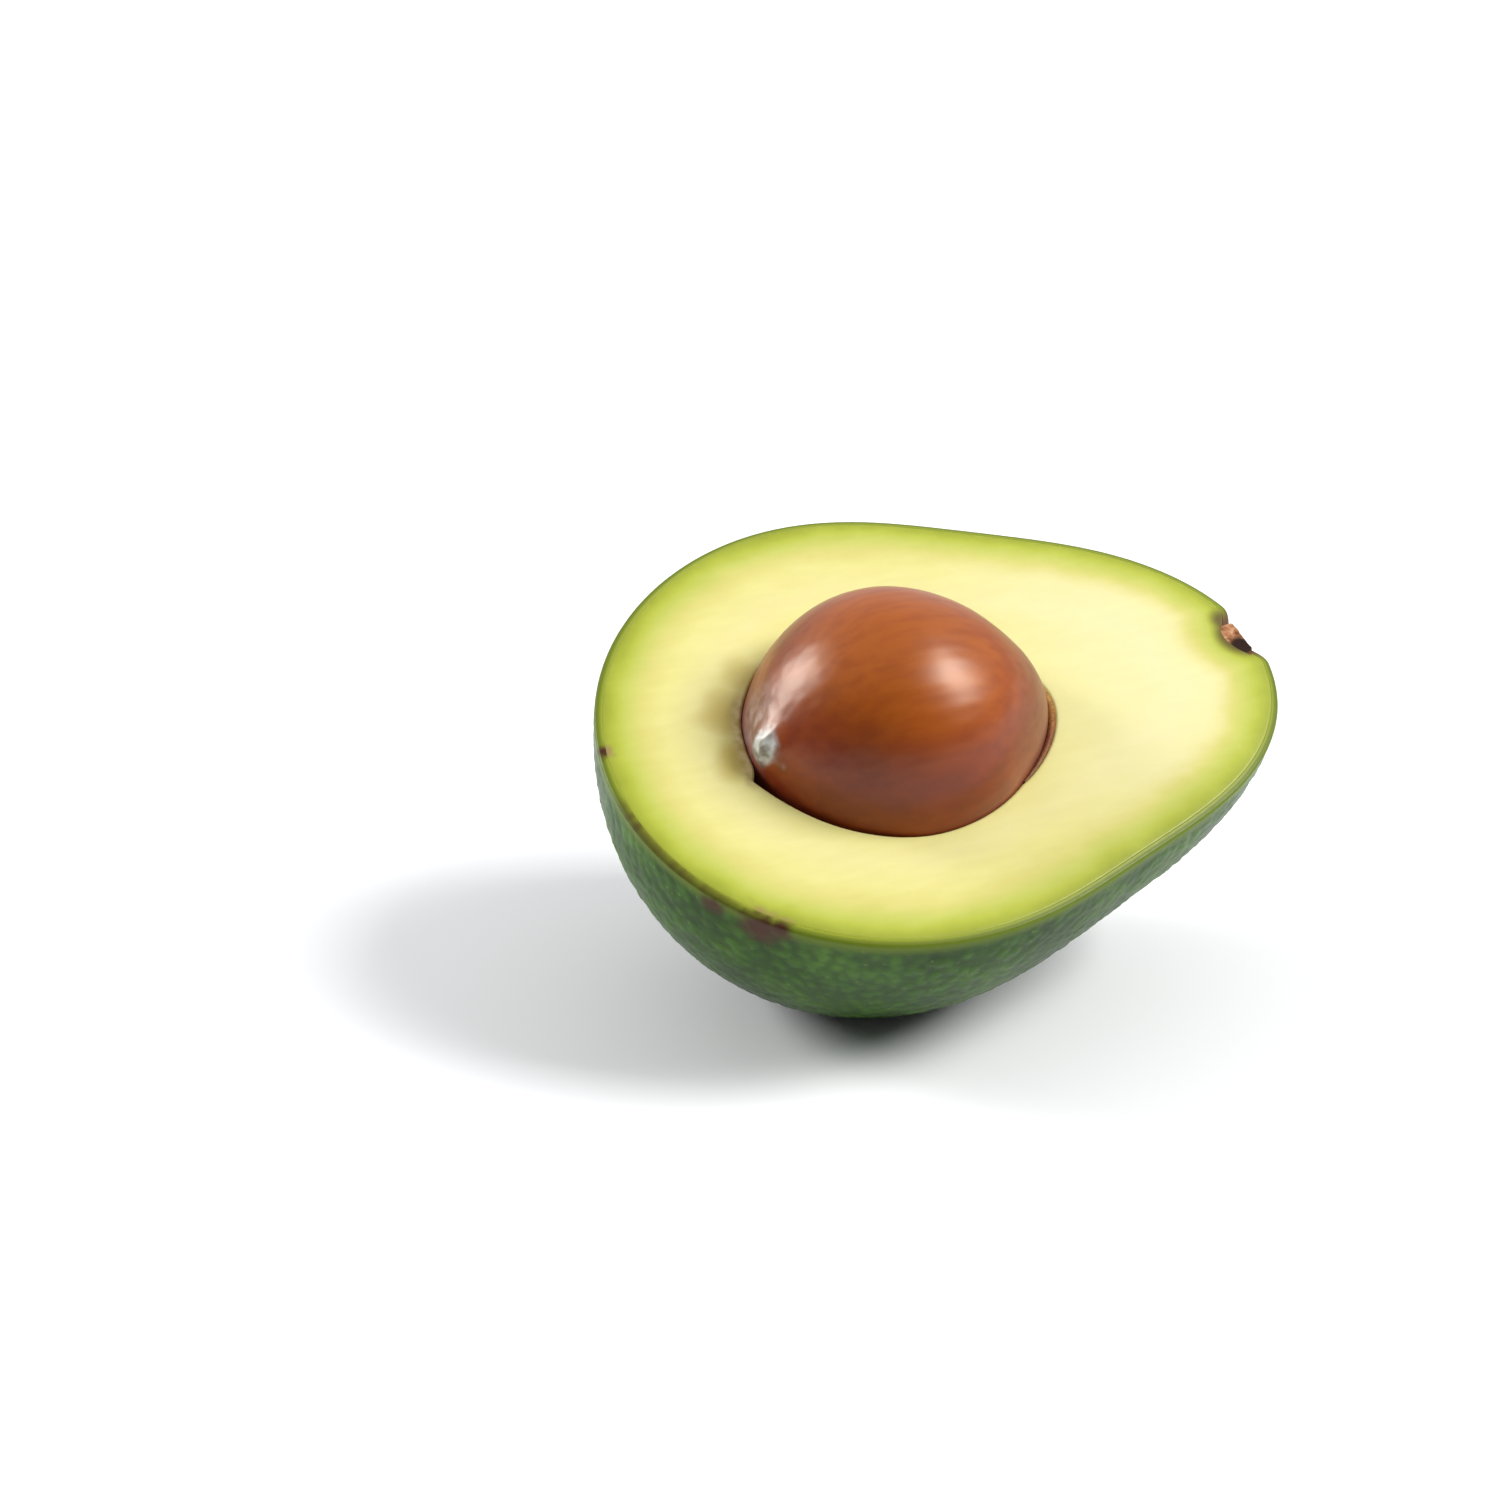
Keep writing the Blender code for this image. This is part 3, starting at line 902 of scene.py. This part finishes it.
# %% Seed finish: polish
def seed_finish():
    """The seed's material: its browns under a satin polish with a fine grain."""
    made, tree, shader = new_material("polished_seed_skin", roughness=0.35, ior=1.55)
    place = add(tree, "ShaderNodeTexCoord").outputs["Object"]
    longwise = add(tree, "ShaderNodeMapping", {"Vector": place, "Scale": (0.2, 1.0, 1.0)})
    longwise = longwise.outputs["Vector"]
    read = {
        name: add(tree, "ShaderNodeAttribute", attribute_name=name).outputs["Fac"]
        for name in ("tip", "above_mm")
    }
    color = seed_browns(tree, place, longwise, read)
    tree.links.new(color, shader.inputs["Base Color"])
    polish_noise = {"Vector": place, "Scale": 1 / (3 * MM), "Detail": 5.0}
    polish = add(tree, "ShaderNodeTexNoise", polish_noise).outputs["Fac"]
    rough = add(tree, "ShaderNodeMapRange", {"Value": polish, "To Min": 0.31, "To Max": 0.38})
    tree.links.new(rough.outputs["Result"], shader.inputs["Roughness"])
    grain_noise = {"Vector": longwise, "Scale": 1 / (0.8 * MM), "Detail": 4.0}
    grain = add(tree, "ShaderNodeTexNoise", grain_noise).outputs["Fac"]
    grain = add(tree, "ShaderNodeBump", {"Height": grain, "Strength": 0.12, "Distance": 0.05 * MM})
    tree.links.new(grain.outputs["Normal"], shader.inputs["Normal"])
    # the skin's own brown shows in its reflections
    shader.inputs["Specular Tint"].default_value = linear("#ffead6")
    # fine dry fuzz whitens the edges
    shader.inputs["Sheen Weight"].default_value = 0.14
    shader.inputs["Sheen Roughness"].default_value = 0.35
    return made


make_piece("polished_seed", "seed", seed, seed_finish())

# %% [markdown]
# ## Seed coat
#
# When the fruit is cut, a strip of the seed's papery coat stays on the wall of the cavity at the stem
# side, and shows as a thin brown crescent. A grid is bent round the seed by the same formulas and
# pulled out into a sheet that fills most of the space there. Its upper edge is a little ragged.

# %% Seed coat shape
COAT_EDGE_BELOW = 0.05 * MM
COAT_RAGGED = 0.10 * MM
COAT_CLEAR = 0.02 * MM  # between the coat and its neighbours
COAT_INNER = 0.06  # the share of the space left between the seed and the coat
COAT_SHORTER = 0.97  # the coat ends just before its space does
COAT_LENGTH = 160
COAT_ROWS = 20


def coat_mesh():
    """The coat as a bmesh: a sheet bent round the seed, with a paint that runs along it."""
    bm = bmesh.new()
    bmesh.ops.create_grid(bm, x_segments=COAT_LENGTH, y_segments=COAT_ROWS, size=1.0)
    turns = bm.verts.layers.float.new("along")
    sheet = bmesh.ops.extrude_face_region(bm, geom=bm.faces[:], use_keep_orig=True)
    outer = {item for item in sheet["geom"] if isinstance(item, bmesh.types.BMVert)}
    for vert in bm.verts:
        vert[turns] = vert.co.x * (COAT_ENDS[0] if vert.co.x > 0 else -COAT_ENDS[1]) * COAT_SHORTER
        turn = COAT_TURN + vert[turns]
        down = (1 - vert.co.y) / 2
        drop = -LEVEL_RISE + down * (COAT_DROP + LEVEL_RISE)
        space = coat_space(turn, drop)
        outset = SNUG + space - COAT_CLEAR if vert in outer else COAT_CLEAR + COAT_INNER * space
        point = seed_point(facing(turn, drop), outset)
        if down == 0:
            point.z = -COAT_EDGE_BELOW + COAT_RAGGED * noise.noise(Vector((turn * 30, 0, 0)))
        vert.co = PLACE @ point
    bmesh.ops.recalc_face_normals(bm, faces=bm.faces)
    return bm


coat = coat_mesh()
print("the coat has", len(coat.verts), "vertices")

# %% [markdown]
# ### Seed coat finish
#
# The coat is dry plant paper, brown where it is thick and tan where it is thin, with fine flecks. It
# has no gloss, so it is rough.


# %% Seed coat finish
def coat_finish():
    """The coat's material: browns that follow the crescent, with flecks."""
    made, tree, shader = new_material("dry_seed_coat", roughness=0.6, ior=1.45)
    place = add(tree, "ShaderNodeTexCoord").outputs["Object"]
    along = add(tree, "ShaderNodeAttribute", attribute_name="along").outputs["Fac"]
    share = {"Value": along, "From Min": COAT_ENDS[1], "From Max": COAT_ENDS[0]}
    share = add(tree, "ShaderNodeMapRange", share).outputs["Result"]
    browns = [(0.1, "#8a5a28"), (0.95, "#c09a4c"), (0.35, "#85430e"), (0.6, "#a8701f")]
    color = add(tree, "ShaderNodeValToRGB", {"Fac": share}, browns).outputs["Color"]
    # flecks of 0.4 mm
    fleck_noise = {"Vector": place, "Scale": 1 / (0.4 * MM), "Detail": 3.0}
    flecks = add(tree, "ShaderNodeTexNoise", fleck_noise).outputs["Fac"]
    fleck_ramp = [(0.35, "#8c7a66"), (0.65, "#ffffff")]
    flecks = add(tree, "ShaderNodeValToRGB", {"Fac": flecks}, fleck_ramp).outputs["Color"]
    color = add(tree, "ShaderNodeMix", {0: 0.7, 6: color, 7: flecks}, **DARKEN).outputs[2]
    tree.links.new(color, shader.inputs["Base Color"])
    return made


make_piece("papery_seed_coat", "seed_coat", coat, coat_finish())

# %% [markdown]
# ## Dried stem
#
# A stub of the stem stayed in its hollow, and the knife went through it too. It is a short cylinder
# with fibres along it and a rough outer end. The fibres are ridges in the mesh, cut off level with
# the face by a bisecting plane.

# %% Dried stem shape
BUTTON_SIDE = 0.4 * MM
BUTTON_RADIUS = 3.3 * MM
BUTTON_TOP = 46.8 * MM
BUTTON_LENGTH = 6.0 * MM
BUTTON_NARROWER = 0.92  # the outer end's radius as a share of the inner end's
BUTTON_ROUND = 0.6 * MM


def stub_cylinder():
    """A cylinder along x with a rounded outer end, fine enough along its side for fibres."""
    bm = bmesh.new()
    along_x = Matrix.Rotation(math.pi / 2, 4, "Y")
    middle = Matrix.Translation((BUTTON_TOP - BUTTON_LENGTH / 2, BUTTON_SIDE, 0))
    bmesh.ops.create_cone(
        bm,
        cap_ends=True,
        segments=96,
        radius1=BUTTON_RADIUS,
        radius2=BUTTON_RADIUS * BUTTON_NARROWER,
        depth=BUTTON_LENGTH,
        matrix=middle @ along_x,
    )
    end = [edge for edge in bm.edges if all(v.co.x > BUTTON_TOP - 0.1 * MM for v in edge.verts)]
    bmesh.ops.bevel(
        bm, geom=end, offset=BUTTON_ROUND, segments=5, profile=0.5, affect="EDGES", material=-1
    )
    sides = [e for e in bm.edges if abs(e.verts[0].co.x - e.verts[1].co.x) > 3 * MM]
    bmesh.ops.subdivide_edges(bm, edges=sides, cuts=18, use_grid_fill=True)
    top = [face for face in bm.faces if face.normal.x > 0.99 and len(face.verts) > 4]
    for _ in range(4):
        bmesh.ops.inset_region(bm, faces=top, thickness=0.3 * MM)
    return bm


stub = stub_cylinder()
print("the stub is", round(2 * BUTTON_RADIUS / MM, 1), "mm across, with", len(stub.verts), "vertices")

# %% Fibres of the stub, and the knife's cut
BUTTON_CUT = -0.1 * MM  # the knife's plane, just under the face
FIBRE_DEPTH = 0.16  # of the radius
END_ROUGHNESS = 0.35 * MM


def weather_and_cut(bm):
    """Pull fibres and a rough end out of the stub, cut it lengthwise and put it in its place."""
    for vert in bm.verts:
        off = Vector((0, vert.co.y - BUTTON_SIDE, vert.co.z))
        turn = math.atan2(off.z, off.y)
        fibres = noise.noise(Vector((math.cos(turn) * 3.5, math.sin(turn) * 3.5, vert.co.x / (4 * MM))))
        vert.co += off * FIBRE_DEPTH * fibres
        at_end = fade(-47 * MM, -45 * MM, -vert.co.x)
        vert.co.x += END_ROUGHNESS * noise.noise(vert.co / (0.8 * MM)) * at_end
    cut = bmesh.ops.bisect_plane(
        bm,
        geom=bm.verts[:] + bm.edges[:] + bm.faces[:],
        plane_co=(0, 0, BUTTON_CUT),
        plane_no=(0, 0, 1),
        clear_outer=True,
        dist=1e-7,
    )
    edges = [item for item in cut["geom_cut"] if isinstance(item, bmesh.types.BMEdge)]
    bmesh.ops.contextual_create(bm, geom=edges)
    bmesh.ops.transform(bm, matrix=PLACE, verts=bm.verts)
    bmesh.ops.recalc_face_normals(bm, faces=bm.faces)


weather_and_cut(stub)
print("after the cut it has", len(stub.verts), "vertices")

# %% [markdown]
# ### Dried stem finish
#
# The stub is dry wood: tan and brown fibres, and a near-black patch of painted shade on its cut end
# that stands in for a shaded hollow. The patch is coloured by the distance from its middle, so its
# border is soft. Dry wood hardly shines, so its reflection is weak.

# %% Dried stem finish
# painted shade: a near-black patch on the stub's cut end stands in for a shaded hollow
SHADED_HOLLOW = Vector((45.8, -0.8, 0.0)) * MM  # the middle of the core


def stub_finish():
    """The stub's material: tan fibres and a near-black patch of painted shade."""
    made, tree, shader = new_material("dried_stem_wood", roughness=0.7, ior=1.45)
    place = add(tree, "ShaderNodeTexCoord").outputs["Object"]
    # fibres of 0.9 mm
    fibre_noise = {"Vector": place, "Scale": 1 / (0.9 * MM), "Detail": 4.0}
    fibres = add(tree, "ShaderNodeTexNoise", fibre_noise).outputs["Fac"]
    tans = [(0.3, "#6a3c20"), (0.7, "#d0a484"), (0.5, "#a97650")]
    color = add(tree, "ShaderNodeValToRGB", {"Fac": fibres}, tans).outputs["Color"]
    # painted shade: near black within 1.1 mm of that middle, gone at 2.3 mm
    off_shaded_hollow = {0: place, 1: PLACE @ SHADED_HOLLOW}
    off_shaded_hollow = add(tree, "ShaderNodeVectorMath", off_shaded_hollow, operation="DISTANCE").outputs["Value"]
    hollow_shade = {"Value": off_shaded_hollow, "From Min": 2.3 * MM, "From Max": 1.1 * MM}
    hollow_shade = add(tree, "ShaderNodeMapRange", hollow_shade, interpolation_type="SMOOTHSTEP").outputs["Result"]
    color = add(tree, "ShaderNodeMix", {0: hollow_shade, 6: color, 7: linear("#240c01")}, **OVER).outputs[2]
    tree.links.new(color, shader.inputs["Base Color"])
    shader.inputs["Specular IOR Level"].default_value = 0.2
    return made


make_piece("dried_stem", "stem_button", stub, stub_finish())

# %% [markdown]
# ## Camera
#
# The camera stands in front and a little to the left, and looks down on the leaning cut face. A long
# lens from further off keeps the fruit's shape true. The camera could be dragged into place, but the
# point it looks at, its distance and two angles say the same in numbers that are easy to change.

# %% Camera
AIM = Vector((-14.9, 5.1, 33.7)) * MM
DISTANCE = 419.4 * MM
AZIMUTH = math.radians(24.03)
ELEVATION = math.radians(23.77)
LENS_MM = 77.6

view = bpy.data.cameras.new("camera")
view.lens = LENS_MM
view.sensor_width = 36
view.clip_start = 10 * MM
camera = bpy.data.objects.new("camera", view)
bpy.context.scene.collection.objects.link(camera)
level = math.cos(ELEVATION)
back = Vector((-level * math.sin(AZIMUTH), -level * math.cos(AZIMUTH), math.sin(ELEVATION)))
camera.location = AIM + back * DISTANCE
camera.rotation_euler = back.to_track_quat("Z", "Y").to_euler()
bpy.context.scene.camera = camera
print("camera stands at", tuple(round(x, 3) for x in camera.location))

# %% [markdown]
# ## Floor and light
#
# The fruit lies on a plain white studio floor between two large softboxes, one behind it on the left
# and one in front on the right. They stand 3 m away, so the floor is evenly lit, and both show as
# broad soft highlights on the seed. The surroundings are dim in front and paler above and behind.

# %% Floor
FLOOR_SIZE = 30.0  # in metres, so that no edge of it shows
sweep = bmesh.new()
bmesh.ops.create_grid(sweep, x_segments=1, y_segments=1, size=FLOOR_SIZE / 2)
floor_mesh = bpy.data.meshes.new("studio_floor")
sweep.to_mesh(floor_mesh)
sweep.free()
floor = bpy.data.objects.new("studio_floor", floor_mesh)
bpy.context.scene.collection.objects.link(floor)
paper, _, paper_shader = new_material("white_paper", roughness=0.8, ior=1.45)
paper_shader.inputs["Base Color"].default_value = linear("#f4f4f5")
floor_mesh.materials.append(paper)
print("the floor is", FLOOR_SIZE, "m wide")

# %% Softboxes
SOFTBOX_DISTANCE = 3.0
SOFTBOXES = (
    # name, azimuth (0 behind the fruit, 90 on the right) and elevation in degrees, side in m, power
    ("left_softbox", -48, 26, 1.2, 76),
    ("right_softbox", 120, 42, 1.4, 106),
)


def direction_to(azimuth, elevation):
    """A direction given by its azimuth and elevation in degrees."""
    turn, rise = math.radians(azimuth), math.radians(elevation)
    level = math.cos(rise)
    return Vector((level * math.sin(turn), level * math.cos(turn), math.sin(rise)))


for name, azimuth, elevation, side, power in SOFTBOXES:
    lamp = bpy.data.lights.new(name, "AREA")
    lamp.size = side
    lamp.energy = power
    softbox = bpy.data.objects.new(name, lamp)
    away = direction_to(azimuth, elevation)
    softbox.location = MIDDLE + away * SOFTBOX_DISTANCE
    softbox.rotation_euler = away.to_track_quat("Z", "Y").to_euler()
    bpy.context.scene.collection.objects.link(softbox)
    print(name, "gives", power, "W")

# %% Surroundings
DIM = 0.10
PALE = 0.60  # added above and behind the fruit

world = bpy.data.worlds.new("studio_surroundings")
world.use_nodes = True
studio = world.node_tree
towards = add(studio, "ShaderNodeTexCoord").outputs["Generated"]
above = {0: towards, 1: direction_to(24, 60)}
above = add(studio, "ShaderNodeVectorMath", above, operation="DOT_PRODUCT")
reach = {"Value": above.outputs["Value"], "To Min": DIM, "To Max": DIM + PALE}
glow = add(studio, "ShaderNodeMapRange", reach, interpolation_type="SMOOTHSTEP")
background = studio.nodes["Background"]
background.inputs["Color"].default_value = linear("#fbfcff")
studio.links.new(glow.outputs["Result"], background.inputs["Strength"])
bpy.context.scene.world = world
bpy.context.scene.view_settings.view_transform = "Standard"
bpy.context.scene.view_settings.look = "None"
print("the surroundings are", DIM, "to", round(DIM + PALE, 2), "bright")
